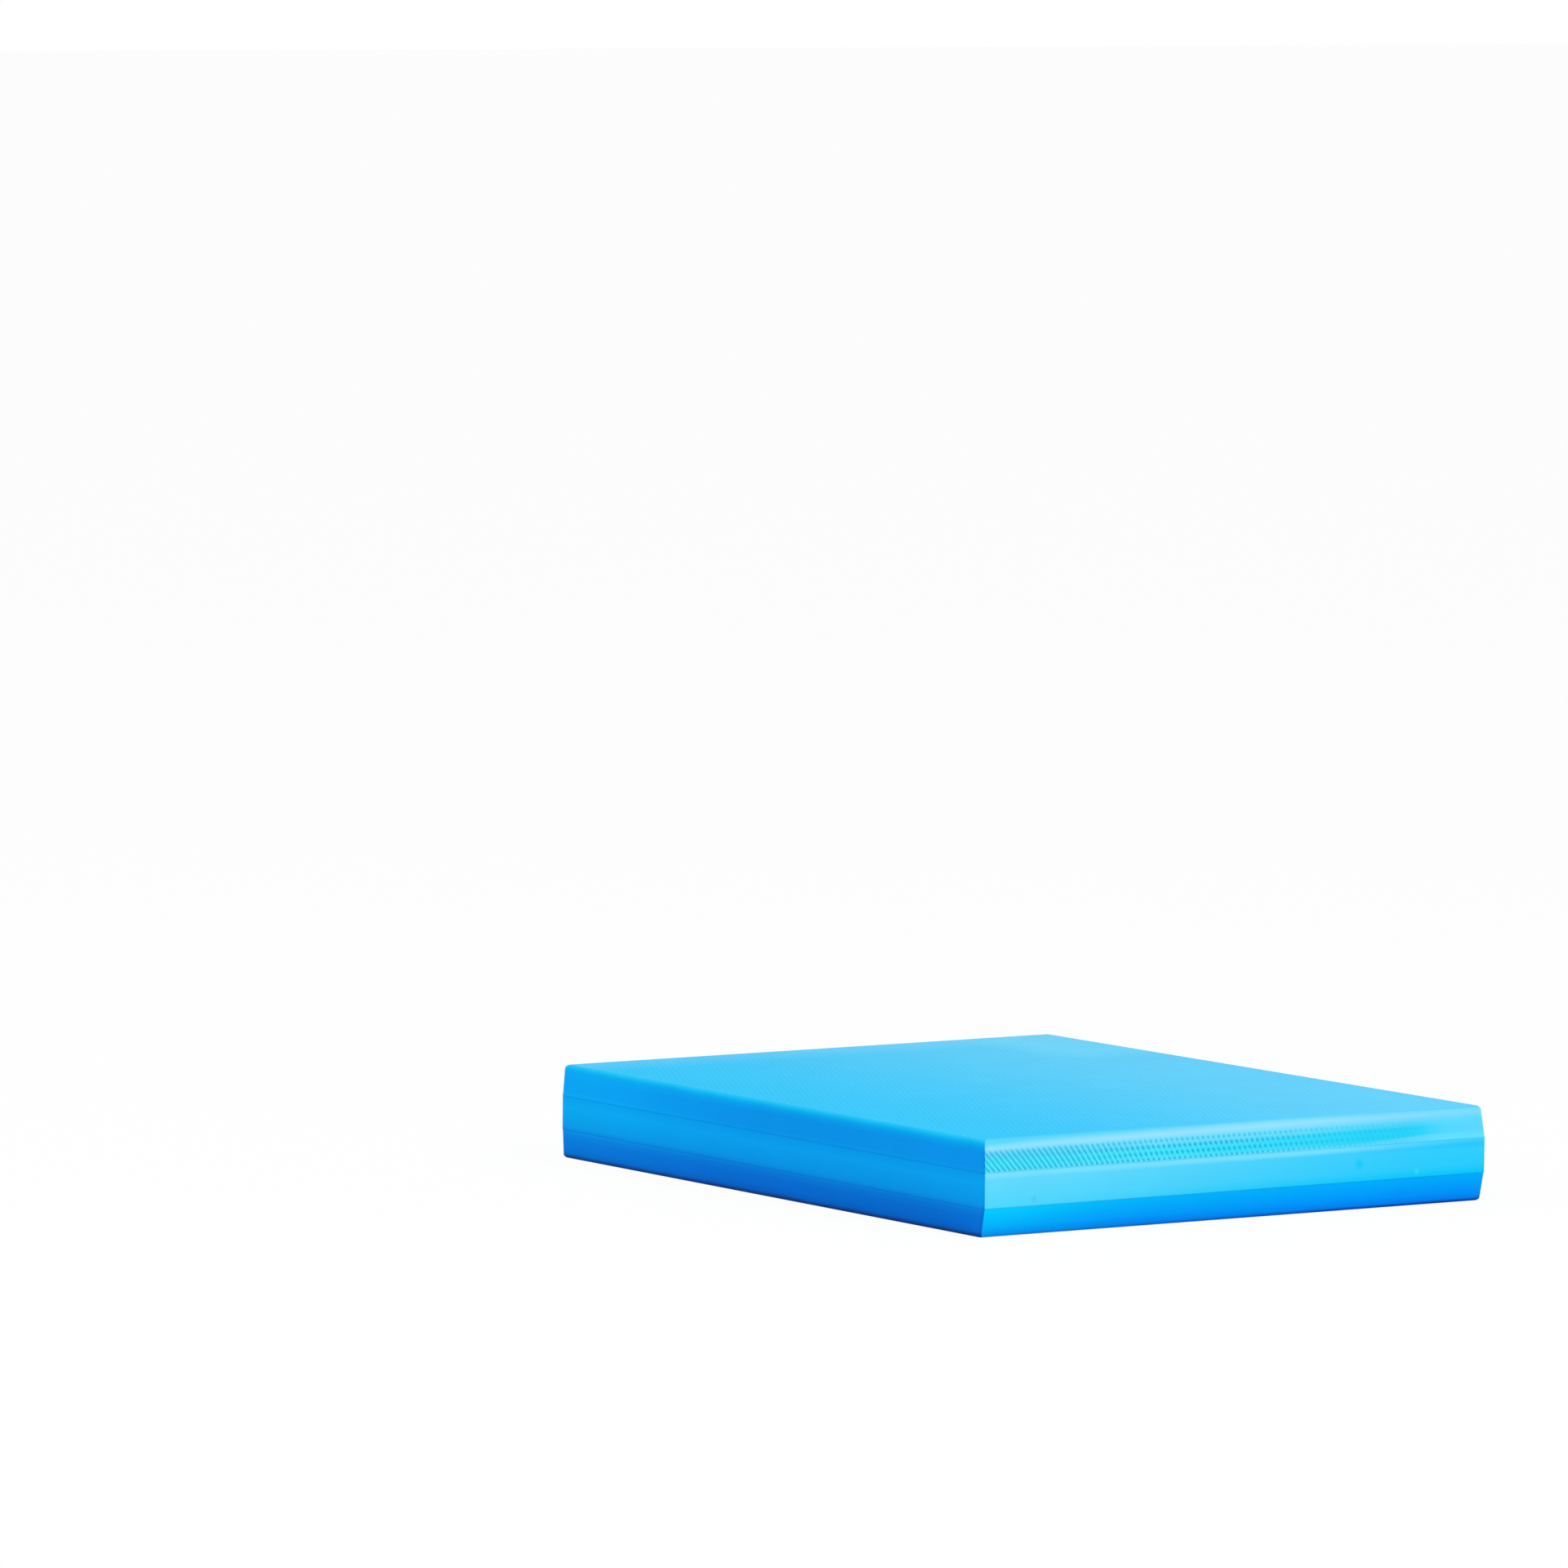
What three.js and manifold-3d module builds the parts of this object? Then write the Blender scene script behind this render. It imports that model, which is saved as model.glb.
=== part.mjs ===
// Balance pad: three foam layers, bonded by films, inside an embossed top skin, a smooth edge
// band and a grip skin underneath.
// Millimetres. X runs along the pad, Y across it, +Z up, with the origin under the pad's middle.

import * as THREE from 'three';
import { mergeVertices } from 'three/addons/utils/BufferGeometryUtils.js';
import Module from 'manifold-3d';

const wasm = await Module();
wasm.setup();

// Overall size
const padLength = 500;
const padWidth = 400;

// Bands of the sides, from the floor up
const lowerBandHeight = 19;
const middleBandHeight = 23;
const upperBandHeight = 21;

// How far each side is drawn in at the top and at the bottom
const frontEndTopDraw = 3.2;
const frontEndBottomDraw = 4.5;
const backEndTopDraw = 0.5;
const backEndBottomDraw = 0.5;
const longSideTopDraw = 1.6;
const longSideBottomDraw = 0.8;

// Rounding of the outer edges
const topEdgeRadius = 3;
const bottomEdgeRadius = 2.5;
const seamRidgeRadius = 20;
const uprightCornerRadius = 1.5;

// Walls and films
const skinThickness = 1.2;
const edgeBandThickness = 1;
const bondFilmThickness = 0.4;

// Clearance between two neighbours, and how far a cutting slab runs past the pad
const fitClearance = 0.3;
const cutOverrun = 5;

// Number of straight steps on each rounded edge
const edgeSteps = 6;

// Levels of the two seams and of the top
const lowerSeam = lowerBandHeight;
const upperSeam = lowerSeam + middleBandHeight;
const padThickness = upperSeam + upperBandHeight;

// Insets of what lies inside the skins and inside the edge band
const insideSkins = skinThickness + fitClearance;
const insideBand = edgeBandThickness + fitClearance;

const skinFinish = { color: 0x4fcdf8, roughness: 0.62, metalness: 0 };
const bandFinish = { color: 0x38c4f6, roughness: 0.5, metalness: 0 };
const foamFinish = { color: 0x7fd9f8, roughness: 0.9, metalness: 0 };
const filmFinish = { color: 0xd9edf4, roughness: 0.4, metalness: 0 };

// A corner of an outline, with the radius that rounds it
function corner(across, up, radius) {
  return { place: new THREE.Vector2(across, up), radius };
}

// Where two straight edges cross, each given by a point on it and its direction
function crossing(pointA, alongA, pointB, alongB) {
  const reach = pointB.clone().sub(pointA).cross(alongB) / alongA.cross(alongB);
  return pointA.clone().addScaledVector(alongA, reach);
}

// An anticlockwise outline drawn in by the same inset on every edge, its roundings kept parallel
function drawnIn(corners, inset) {
  const edges = corners.map(({ place }, index) => {
    const next = corners[(index + 1) % corners.length].place;
    const along = next.clone().sub(place).normalize();
    const inward = new THREE.Vector2(-along.y, along.x);
    return { along, start: place.clone().addScaledVector(inward, inset) };
  });
  return corners.map(({ radius }, index) => {
    const before = edges[(index + edges.length - 1) % edges.length];
    const after = edges[index];
    const place = crossing(before.start, before.along, after.start, after.along);
    return { place, radius: Math.max(radius - inset, 0) };
  });
}

// A closed shape through the corners, each rounded by an arc where it has a radius
function roundedShape(corners) {
  const points = corners.flatMap(({ place, radius }, index) => {
    if (radius === 0) {
      return [place];
    }
    const previous = corners[(index + corners.length - 1) % corners.length].place;
    const next = corners[(index + 1) % corners.length].place;
    const toPrevious = previous.clone().sub(place).normalize();
    const toNext = next.clone().sub(place).normalize();
    const halfAngle = Math.acos(toPrevious.dot(toNext)) / 2;
    const middle = toPrevious.clone().add(toNext).normalize();
    const centre = place.clone().addScaledVector(middle, radius / Math.sin(halfAngle));
    const first = place.clone().addScaledVector(toPrevious, radius / Math.tan(halfAngle));
    const sweep = Math.PI - 2 * halfAngle;
    return Array.from({ length: edgeSteps + 1 }, (_, step) => {
      return first.clone().rotateAround(centre, (sweep * step) / edgeSteps);
    });
  });
  return new THREE.Shape(points);
}

// The pad's outline seen from its long side, as X and Z
function lengthOutline() {
  const front = padLength / 2;
  const back = -front;
  return [
    corner(back + backEndBottomDraw, 0, bottomEdgeRadius),
    corner(front - frontEndBottomDraw, 0, bottomEdgeRadius),
    corner(front, lowerSeam, 0),
    corner(front, upperSeam, seamRidgeRadius),
    corner(front - frontEndTopDraw, padThickness, topEdgeRadius),
    corner(back + backEndTopDraw, padThickness, topEdgeRadius),
    corner(back, upperSeam, seamRidgeRadius),
    corner(back, lowerSeam, 0),
  ];
}

// The pad's outline seen from its end, as Y and Z
function widthOutline() {
  const side = padWidth / 2;
  return [
    corner(-side + longSideBottomDraw, 0, bottomEdgeRadius),
    corner(side - longSideBottomDraw, 0, bottomEdgeRadius),
    corner(side, lowerSeam, 0),
    corner(side, upperSeam, seamRidgeRadius),
    corner(side - longSideTopDraw, padThickness, topEdgeRadius),
    corner(-side + longSideTopDraw, padThickness, topEdgeRadius),
    corner(-side, upperSeam, seamRidgeRadius),
    corner(-side, lowerSeam, 0),
  ];
}

// The pad's outline seen from above, as X and Y
function planOutline() {
  const front = padLength / 2;
  const side = padWidth / 2;
  return [
    corner(-front, -side, uprightCornerRadius),
    corner(front, -side, uprightCornerRadius),
    corner(front, side, uprightCornerRadius),
    corner(-front, side, uprightCornerRadius),
  ];
}

// A closed geometry as a solid that can be cut and joined
function solidFrom(geometry) {
  geometry.deleteAttribute('normal');
  geometry.deleteAttribute('uv');
  const merged = mergeVertices(geometry);
  const vertProperties = new Float32Array(merged.attributes.position.array);
  const triVerts = new Uint32Array(merged.index.array);
  return new wasm.Manifold(new wasm.Mesh({ numProp: 3, vertProperties, triVerts }));
}

// An outline pushed along +Z, with as much length before its plane as behind it
function prism(corners, inset, depth) {
  const geometry = new THREE.ExtrudeGeometry(roundedShape(drawnIn(corners, inset)), {
    depth,
    bevelEnabled: false,
  });
  return geometry.translate(0, 0, -depth / 2);
}

// The whole pad drawn in by an inset: where its three outlines meet
function padBody(inset) {
  const alongWidth = padWidth + 2 * cutOverrun;
  const alongLength = padLength + 2 * cutOverrun;
  const alongHeight = 2 * (padThickness + cutOverrun);
  const quarterTurn = Math.PI / 2;
  const fromLongSide = prism(lengthOutline(), inset, alongWidth).rotateX(quarterTurn);
  const fromEnd = prism(widthOutline(), inset, alongLength).rotateX(quarterTurn).rotateZ(quarterTurn);
  const fromAbove = prism(planOutline(), inset, alongHeight);
  return solidFrom(fromLongSide).intersect(solidFrom(fromEnd)).intersect(solidFrom(fromAbove));
}

// What a body holds between two levels
function between(body, low, high) {
  const slab = new THREE.BoxGeometry(
    padLength + 2 * cutOverrun,
    padWidth + 2 * cutOverrun,
    high - low,
  );
  return body.intersect(solidFrom(slab.translate(0, 0, (low + high) / 2)));
}

function topSkin() {
  const outside = between(padBody(0), upperSeam + fitClearance / 2, padThickness + cutOverrun);
  return outside.subtract(padBody(skinThickness));
}

function topFoamLayer() {
  const foot = upperSeam + bondFilmThickness / 2 + fitClearance;
  return between(padBody(insideSkins), foot, padThickness);
}

function bondFilm(seam) {
  const body = padBody(insideSkins);
  return between(body, seam - bondFilmThickness / 2, seam + bondFilmThickness / 2);
}

function coreFoamLayer() {
  const fromFilm = bondFilmThickness / 2 + fitClearance;
  return between(padBody(insideBand), lowerSeam + fromFilm, upperSeam - fromFilm);
}

function edgeBand() {
  const outside = between(padBody(0), lowerSeam + fitClearance / 2, upperSeam - fitClearance / 2);
  return outside.subtract(padBody(edgeBandThickness));
}

function bottomFoamLayer() {
  const head = lowerSeam - bondFilmThickness / 2 - fitClearance;
  return between(padBody(insideSkins), 0, head);
}

function bottomSkin() {
  const outside = between(padBody(0), -cutOverrun, lowerSeam - fitClearance / 2);
  return outside.subtract(padBody(skinThickness));
}

// A solid as a named mesh with its finish
function piece(name, solid, finish) {
  const { numProp, vertProperties, triVerts } = solid.getMesh();
  const geometry = new THREE.BufferGeometry();
  geometry.setAttribute('position', new THREE.BufferAttribute(vertProperties, numProp));
  geometry.setIndex(new THREE.BufferAttribute(triVerts, 1));
  geometry.computeVertexNormals();
  const mesh = new THREE.Mesh(geometry, new THREE.MeshStandardMaterial(finish));
  mesh.name = name;
  return mesh;
}

const pad = new THREE.Group();
pad.add(piece('top_skin', topSkin(), skinFinish));
pad.add(piece('top_foam_layer', topFoamLayer(), foamFinish));
pad.add(piece('upper_bond_film', bondFilm(upperSeam), filmFinish));
pad.add(piece('core_foam_layer', coreFoamLayer(), foamFinish));
pad.add(piece('edge_band', edgeBand(), bandFinish));
pad.add(piece('lower_bond_film', bondFilm(lowerSeam), filmFinish));
pad.add(piece('bottom_foam_layer', bottomFoamLayer(), foamFinish));
pad.add(piece('bottom_skin', bottomSkin(), skinFinish));

export default pad;
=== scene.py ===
"""Dress the foam balance pad: two moulded skins, an edge band, foam layers and bond films."""

import logging
import math
from dataclasses import dataclass, field
from enum import Enum
from typing import Iterable, Optional, Union

import bmesh
import bpy
import numpy as np
from mathutils import Matrix, Vector


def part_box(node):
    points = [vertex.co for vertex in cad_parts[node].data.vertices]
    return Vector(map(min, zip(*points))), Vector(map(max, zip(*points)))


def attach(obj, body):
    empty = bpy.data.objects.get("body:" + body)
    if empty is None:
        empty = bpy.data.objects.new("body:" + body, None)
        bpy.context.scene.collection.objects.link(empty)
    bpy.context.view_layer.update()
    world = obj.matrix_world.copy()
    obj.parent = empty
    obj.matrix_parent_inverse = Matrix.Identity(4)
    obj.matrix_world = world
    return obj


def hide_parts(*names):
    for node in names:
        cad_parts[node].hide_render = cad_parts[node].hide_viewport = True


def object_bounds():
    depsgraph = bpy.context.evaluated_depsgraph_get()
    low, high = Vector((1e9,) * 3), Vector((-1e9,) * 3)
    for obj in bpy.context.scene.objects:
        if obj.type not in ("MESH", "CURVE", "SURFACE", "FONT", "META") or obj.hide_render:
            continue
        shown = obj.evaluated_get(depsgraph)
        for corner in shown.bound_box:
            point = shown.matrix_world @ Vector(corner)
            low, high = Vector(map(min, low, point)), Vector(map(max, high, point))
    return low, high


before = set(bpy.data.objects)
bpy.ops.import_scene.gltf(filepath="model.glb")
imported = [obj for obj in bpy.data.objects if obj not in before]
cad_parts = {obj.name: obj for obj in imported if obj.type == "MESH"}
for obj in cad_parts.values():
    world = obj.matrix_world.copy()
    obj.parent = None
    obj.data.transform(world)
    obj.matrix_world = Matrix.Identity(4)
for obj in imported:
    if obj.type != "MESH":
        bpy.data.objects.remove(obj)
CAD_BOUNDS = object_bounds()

MM = 0.001
MIDDLE = 0.5
HALF_SQUARE = 0.5
QUARTER_TURN = math.pi / 2
LEVEL_DIGITS = 7
SAME_LEVEL = 1e-7
TINY = 1e-9
WHITE = (1.0, 1.0, 1.0)
BODY = "root"
log = logging.getLogger("balance_pad")


# Named options


class Axis(Enum):
    """An axis of the frame."""

    X = "X"
    Y = "Y"
    Z = "Z"


class Maths(Enum):
    """What a Math node does with its numbers."""

    ADD = "ADD"
    SUBTRACT = "SUBTRACT"
    MULTIPLY = "MULTIPLY"
    MINIMUM = "MINIMUM"
    SIGN = "SIGN"


class Blend(Enum):
    """How one colour is laid over another."""

    OVER = "MIX"
    TINT = "MULTIPLY"


class Mark(Enum):
    """A number that is stored with a mesh, for its finish to read."""

    LONG_SIDE = "long_side"
    FLAT = "flat"
    PIT_SHADE = "pit"


# Shader building

Feed = Union["Amount", bpy.types.NodeSocket, float, tuple]

# The sockets of a Mix node that blends colours: its share, first and second colour, and its result.
COLOUR_MIX_INPUTS = (0, 6, 7)
COLOUR_MIX_OUTPUT = 2


@dataclass(frozen=True)
class Amount:
    """A number that varies over a surface. Arithmetic on it adds Math nodes."""

    tree: "ShaderTree"
    socket: bpy.types.NodeSocket

    def __add__(self, other: Feed) -> "Amount":
        """This number plus another."""
        return self.tree.maths(Maths.ADD, self, other)

    def __sub__(self, other: Feed) -> "Amount":
        """This number less another."""
        return self.tree.maths(Maths.SUBTRACT, self, other)

    def __rsub__(self, other: Feed) -> "Amount":
        """Another number less this one."""
        return self.tree.maths(Maths.SUBTRACT, other, self)

    def __mul__(self, other: Feed) -> "Amount":
        """This number times another."""
        return self.tree.maths(Maths.MULTIPLY, self, other)

    __radd__ = __add__
    __rmul__ = __mul__

    def centred(self) -> "Amount":
        """This number, which goes from 0 to 1, less its middle."""
        return self - MIDDLE

    def ramp(self, low: float, high: float) -> "Amount":
        """Turn this number into a smooth rise from 0 to 1.

        Args:
            low: the value at which the rise starts.
            high: the value at which it ends; it may be below low.

        Returns:
            The rise as an amount from 0 to 1.
        """
        settings = {"interpolation_type": "SMOOTHSTEP"}
        inputs = {"Value": self, "From Min": low, "From Max": high}
        return Amount(self.tree, self.tree.node("ShaderNodeMapRange", settings, inputs).outputs["Result"])


@dataclass(frozen=True)
class ShaderTree:
    """The node tree of one material, lamp or world."""

    tree: bpy.types.NodeTree

    def node(
        self, kind: str, settings: Optional[dict] = None, inputs: Optional[dict] = None
    ) -> bpy.types.Node:
        """Add a node.

        Args:
            kind: the node's type name.
            settings: its settings, set first; stops holds a ramp's (position, colour) pairs.
            inputs: values or links for its input sockets, by name or number.

        Returns:
            The new node.
        """
        made = self.tree.nodes.new(kind)
        for name, value in (settings or {}).items():
            if name == "stops":
                self._set_stops(made.color_ramp, value)
            else:
                setattr(made, name, value)
        self.fill(made, inputs or {})
        return made

    def _set_stops(self, ramp: bpy.types.ColorRamp, stops: Iterable[tuple]) -> None:
        """Give a colour ramp its stops.

        Args:
            ramp: the ramp.
            stops: its (position, colour) pairs, lowest first.
        """
        for index, (position, colour) in enumerate(stops):
            new = index >= len(ramp.elements)
            stop = ramp.elements.new(position) if new else ramp.elements[index]
            stop.position = position
            stop.color = (*colour, 1)

    def fill(self, node: bpy.types.Node, inputs: dict) -> None:
        """Feed a node's input sockets, given by name or number."""
        for name, value in inputs.items():
            self.feed(node.inputs[name], value)

    def feed(self, socket: bpy.types.NodeSocket, value: Feed) -> None:
        """Link a socket, or set its own value.

        Args:
            socket: the input socket.
            value: what it is linked or set to; a colour may leave out its alpha.
        """
        if isinstance(value, Amount):
            value = value.socket
        if isinstance(value, bpy.types.NodeSocket):
            self.tree.links.new(value, socket)
        elif isinstance(value, tuple) and len(value) < len(socket.default_value):
            socket.default_value = (*value, 1)
        else:
            socket.default_value = value

    def maths(self, operation: Maths, first: Feed, second: Feed) -> Amount:
        """Combine two numbers with a Math node."""
        made = self.node("ShaderNodeMath", {"operation": operation.value}, {0: first, 1: second})
        return Amount(self, made.outputs[0])

    def place(self) -> bpy.types.NodeSocket:
        """The object's own coordinates, in metres."""
        return self.node("ShaderNodeTexCoord").outputs["Object"]

    def along(self, axis: Axis) -> Amount:
        """How far along an axis the surface lies, in metres."""
        split = self.node("ShaderNodeSeparateXYZ", inputs={0: self.place()})
        return Amount(self, split.outputs[axis.value])

    def near(self, spot: tuple, radius: float) -> Amount:
        """A round spot.

        Args:
            spot: its middle, in metres.
            radius: its radius, in metres.

        Returns:
            1 at its middle, and 0 from its rim outwards.
        """
        inputs = {0: self.place(), 1: spot}
        away = self.node("ShaderNodeVectorMath", {"operation": "DISTANCE"}, inputs).outputs["Value"]
        return Amount(self, away).ramp(radius, 0)

    def stored(self, mark: Mark) -> Amount:
        """A number stored with the mesh."""
        made = self.node("ShaderNodeAttribute", {"attribute_name": mark.value})
        return Amount(self, made.outputs["Fac"])

    def noise(self, size: float, detail: float = 2, stretch: tuple = (1, 1, 1)) -> Amount:
        """A smooth random pattern in the object's own space.

        Args:
            size: about how far apart its lumps lie, in metres.
            detail: how many finer layers it has.
            stretch: how much closer the lumps lie along each axis.

        Returns:
            The pattern as an amount around 0.5.
        """
        spread = self.node("ShaderNodeMapping", inputs={"Vector": self.place(), "Scale": stretch})
        inputs = {"Vector": spread.outputs[0], "Scale": 1 / size, "Detail": detail}
        return Amount(self, self.node("ShaderNodeTexNoise", inputs=inputs).outputs[0])

    def mix(
        self, share: Feed, first: Feed, second: Feed, blend: Blend = Blend.OVER
    ) -> bpy.types.NodeSocket:
        """Blend two colours.

        Args:
            share: how much of the second colour shows, from 0 to 1.
            first: the colour underneath.
            second: the colour laid over it.
            blend: how the second is laid over the first.

        Returns:
            The blended colour's socket.
        """
        settings = {"data_type": "RGBA", "blend_type": blend.value}
        inputs = dict(zip(COLOUR_MIX_INPUTS, (share, first, second)))
        return self.node("ShaderNodeMix", settings, inputs).outputs[COLOUR_MIX_OUTPUT]

    def gradient(self, amount: Feed, stops: Iterable[tuple]) -> bpy.types.NodeSocket:
        """A colour that follows a number from 0 to 1 through its (position, colour) stops."""
        return self.node("ShaderNodeValToRGB", {"stops": stops}, {0: amount}).outputs["Color"]

    def bumps(self, height: Feed, depth: float) -> bpy.types.NodeSocket:
        """Turn a pattern from 0 to 1 into relief of that depth, in metres."""
        made = self.node("ShaderNodeBump", inputs={"Height": height, "Distance": depth})
        return made.outputs["Normal"]


def new_material(name: str) -> tuple[bpy.types.Material, ShaderTree, bpy.types.Node]:
    """Make a node material.

    Args:
        name: the material's name.

    Returns:
        The material, its tree and its main shader.
    """
    material = bpy.data.materials.new(name)
    material.use_nodes = True
    tree = ShaderTree(material.node_tree)
    return material, tree, material.node_tree.nodes["Principled BSDF"]


# Finishes

Colour = tuple[float, float, float]
Stops = tuple[tuple[float, Colour], ...]


@dataclass(frozen=True)
class BandTones:
    """The colours, painted light and shade among them, up one kind of side: in each band, stops from 0 at
    its foot to 1 at its head.

    The rise is how much higher the top edge's tones, with their painted highlight, lie towards the far
    corner than towards the near one.
    It comes between two places along the side. Close to the near corner they dip further.
    """

    foot: Stops
    wall: Stops
    head: Stops
    unevenness: float
    wave_size: float = 40 * MM
    rise: float = 0.0
    rise_between: tuple[float, float] = (-180 * MM, 60 * MM)
    highlight_corner_dip: float = 0.0
    corner_reach: float = 50 * MM

    def colour(self, tree: ShaderTree, sizes: "PadSizes") -> bpy.types.NodeSocket:
        """Colour a side by height.

        Args:
            tree: the material's tree.
            sizes: the levels between which the bands lie.

        Returns:
            The colour's socket.
        """
        levels = (0.0, sizes.lower_seam, sizes.upper_seam, sizes.thickness)
        bands = zip((self.foot, self.wall, self.head), levels, levels[1:])
        stops = [
            ((low + share * (high - low)) / sizes.thickness, colour)
            for tones, low, high in bands
            for share, colour in tones
        ]
        waves = tree.noise(self.wave_size).centred() * self.unevenness
        # The head band's tones, painted highlight included, rise towards the far corner and dip by the near
        # one.
        at_top = tree.along(Axis.Z).ramp(sizes.upper_seam, sizes.thickness)
        to_corner = tree.along(Axis.Y).ramp(self.corner_reach - sizes.width / 2, -sizes.width / 2)
        risen = tree.along(Axis.Y).ramp(*self.rise_between).centred() * self.rise
        risen = risen - to_corner * self.highlight_corner_dip
        height = tree.along(Axis.Z) + waves - risen * at_top
        return tree.gradient(height * (1 / sizes.thickness), stops)


# The ends' tones: the skin's own blue with painted light and painted sheen, a painted highlight along the
# rim (the head's palest stops) and along the ridge under the upper seam (the wall's top stops), and painted
# shade on the foot, darker towards the floor.
END_TONES = BandTones(
    foot=(
        (0.0, (0.001, 0.22, 0.8)),
        (0.2, (0.001, 0.282, 0.83)),
        (0.37, (0.001, 0.344, 0.89)),
        (0.605, (0.001, 0.395, 0.9)),
        (0.842, (0.001, 0.447, 0.9)),
        (0.985, (0.001, 0.46, 0.92)),
    ),
    wall=(
        (0.0, (0.075, 0.62, 0.885)),
        (0.8, (0.117, 0.645, 0.885)),
        (0.85, (0.155, 0.665, 0.89)),
        (0.9, (0.18, 0.69, 0.9)),
        (0.985, (0.155, 0.69, 0.9)),
    ),
    head=(
        (0.02, (0.12, 0.68, 0.89)),
        (0.11, (0.11, 0.65, 0.89)),
        (0.42, (0.11, 0.63, 0.89)),
        (0.53, (0.13, 0.68, 0.89)),
        (0.64, (0.155, 0.69, 0.9)),
        (0.72, (0.235, 0.68, 0.9)),
        (0.8, (0.3, 0.7, 0.9)),
        (0.87, (0.24, 0.68, 0.9)),
        (0.95, (0.14, 0.645, 0.92)),
        (0.995, (0.105, 0.62, 0.94)),
    ),
    unevenness=0.2 * MM,
    rise=1.7 * MM,
    highlight_corner_dip=1.7 * MM,
)
# The long sides' tones: the skin's own blue deepened by painted shade, with a painted contact shadow at the
# very foot and a painted highlight towards the top edge.
SIDE_TONES = BandTones(
    foot=(
        (0.0, (0.004, 0.03, 0.17)),
        (0.08, (0.003, 0.05, 0.26)),
        (0.19, (0.001, 0.135, 0.56)),
        (0.4, (0.001, 0.157, 0.635)),
        (0.66, (0.001, 0.165, 0.64)),
        (0.88, (0.001, 0.198, 0.68)),
    ),
    wall=((0.15, (0.001, 0.305, 0.78)), (0.7, (0.001, 0.36, 0.84)), (0.95, (0.001, 0.325, 0.82))),
    head=(
        (0.15, (0.001, 0.29, 0.79)),
        (0.6, (0.001, 0.29, 0.79)),
        (0.762, (0.001, 0.335, 0.82)),
        (0.845, (0.001, 0.415, 0.85)),
        (0.917, (0.005, 0.5, 0.89)),
        (0.985, (0.02, 0.56, 0.94)),
    ),
    unevenness=1.6 * MM,
)


@dataclass(frozen=True)
class StripTones:
    """The colours of the embossed strip along an end, from its grooved corner to its bare one: the skin's
    own blue with painted sheen and the painted shade of its pits.

    Heights are over the upper seam: the strip fades in and out between those of its foot and head.
    Towards the bare corner its foot and its head lie higher by their lifts, and the painted highlight of the
    ridge under it takes on the ridge's tint. The rim tints tint the painted highlight along the rim. What a
    lift or the ridge's tint lies between are shares of the way to that corner.
    """

    strip: Stops
    rim_highlight_tints: Stops
    ridge_highlight_tint: Colour
    foot: tuple[float, float] = (0.6 * MM, 2.8 * MM)
    foot_lift: float = 3 * MM
    foot_lift_between: tuple[float, float] = (0.72, 0.91)
    head: tuple[float, float] = (11 * MM, 7 * MM)
    head_lift: float = 2.2 * MM
    head_lift_between: tuple[float, float] = (0.5, 0.8)
    rim: tuple[float, float] = (8 * MM, 13 * MM)
    ridge_foot: tuple[float, float] = (-6 * MM, -2.8 * MM)
    ridge_head: tuple[float, float] = (1.8 * MM, -1.6 * MM)
    ridge_highlight_tint_between: tuple[float, float] = (0.6, 0.98)

    def colour(
        self, tree: ShaderTree, sizes: "PadSizes", ends: bpy.types.NodeSocket
    ) -> bpy.types.NodeSocket:
        """Lay the strip's colours over an end's.

        Args:
            tree: the material's tree.
            sizes: the pad's sizes, which give the strip its place.
            ends: the colour of the ends without the strip.

        Returns:
            The colour's socket.
        """
        facing = tree.maths(Maths.SIGN, tree.along(Axis.X), 0.0)
        from_corner = tree.along(Axis.Y) * facing * (1 / sizes.width) + MIDDLE
        above = tree.along(Axis.Z) - sizes.upper_seam
        # Tint the painted highlight along the rim, then damp the painted highlight of the ridge towards the
        # bare corner.
        rim_highlight_tint = tree.gradient(from_corner, self.rim_highlight_tints)
        ends = tree.mix(above.ramp(*self.rim), ends, rim_highlight_tint, Blend.TINT)
        on_ridge = above.ramp(*self.ridge_foot) * above.ramp(*self.ridge_head)
        tinted = on_ridge * from_corner.ramp(*self.ridge_highlight_tint_between)
        ends = tree.mix(tinted, ends, self.ridge_highlight_tint, Blend.TINT)
        over_foot = above - from_corner.ramp(*self.foot_lift_between) * self.foot_lift
        under_head = above - from_corner.ramp(*self.head_lift_between) * self.head_lift
        in_strip = over_foot.ramp(*self.foot) * under_head.ramp(*self.head)
        # Lay the strip's tones, with their painted sheen and the painted shade of its pits, over the ends.
        return tree.mix(in_strip, ends, tree.gradient(from_corner, self.strip))


# The strip's tones: the skin's blue with painted sheen and the painted shade of its pits; the rim and ridge
# tints tint the painted highlights along the rim and the ridge.
END_STRIP = StripTones(
    strip=(
        (0.05, (0.09, 0.766, 0.905)),
        (0.25, (0.075, 0.73, 0.885)),
        (0.45, (0.047, 0.69, 0.875)),
        (0.55, (0.043, 0.67, 0.88)),
        (0.66, (0.035, 0.66, 0.88)),
        (0.76, (0.0235, 0.64, 0.88)),
        (0.87, (0.026, 0.62, 0.885)),
        (0.92, (0.078, 0.61, 0.89)),
        (0.985, (0.1, 0.6, 0.9)),
    ),
    rim_highlight_tints=(
        (0.05, (0.9, 1, 1)),
        (0.15, (0.94, 1, 1)),
        (0.3, (1, 1, 1)),
        (0.5, (1, 1, 1)),
        (0.66, (0.94, 0.98, 1)),
        (0.85, (0.74, 0.92, 1)),
        (0.95, (0.68, 0.91, 1)),
    ),
    ridge_highlight_tint=(0.18, 0.81, 1),
)


@dataclass(frozen=True)
class Fleck:
    """A small mark that the mould left on a wall, with its place and its radius in metres."""

    place: tuple[float, float, float]
    radius: float
    tint: Colour


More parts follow.
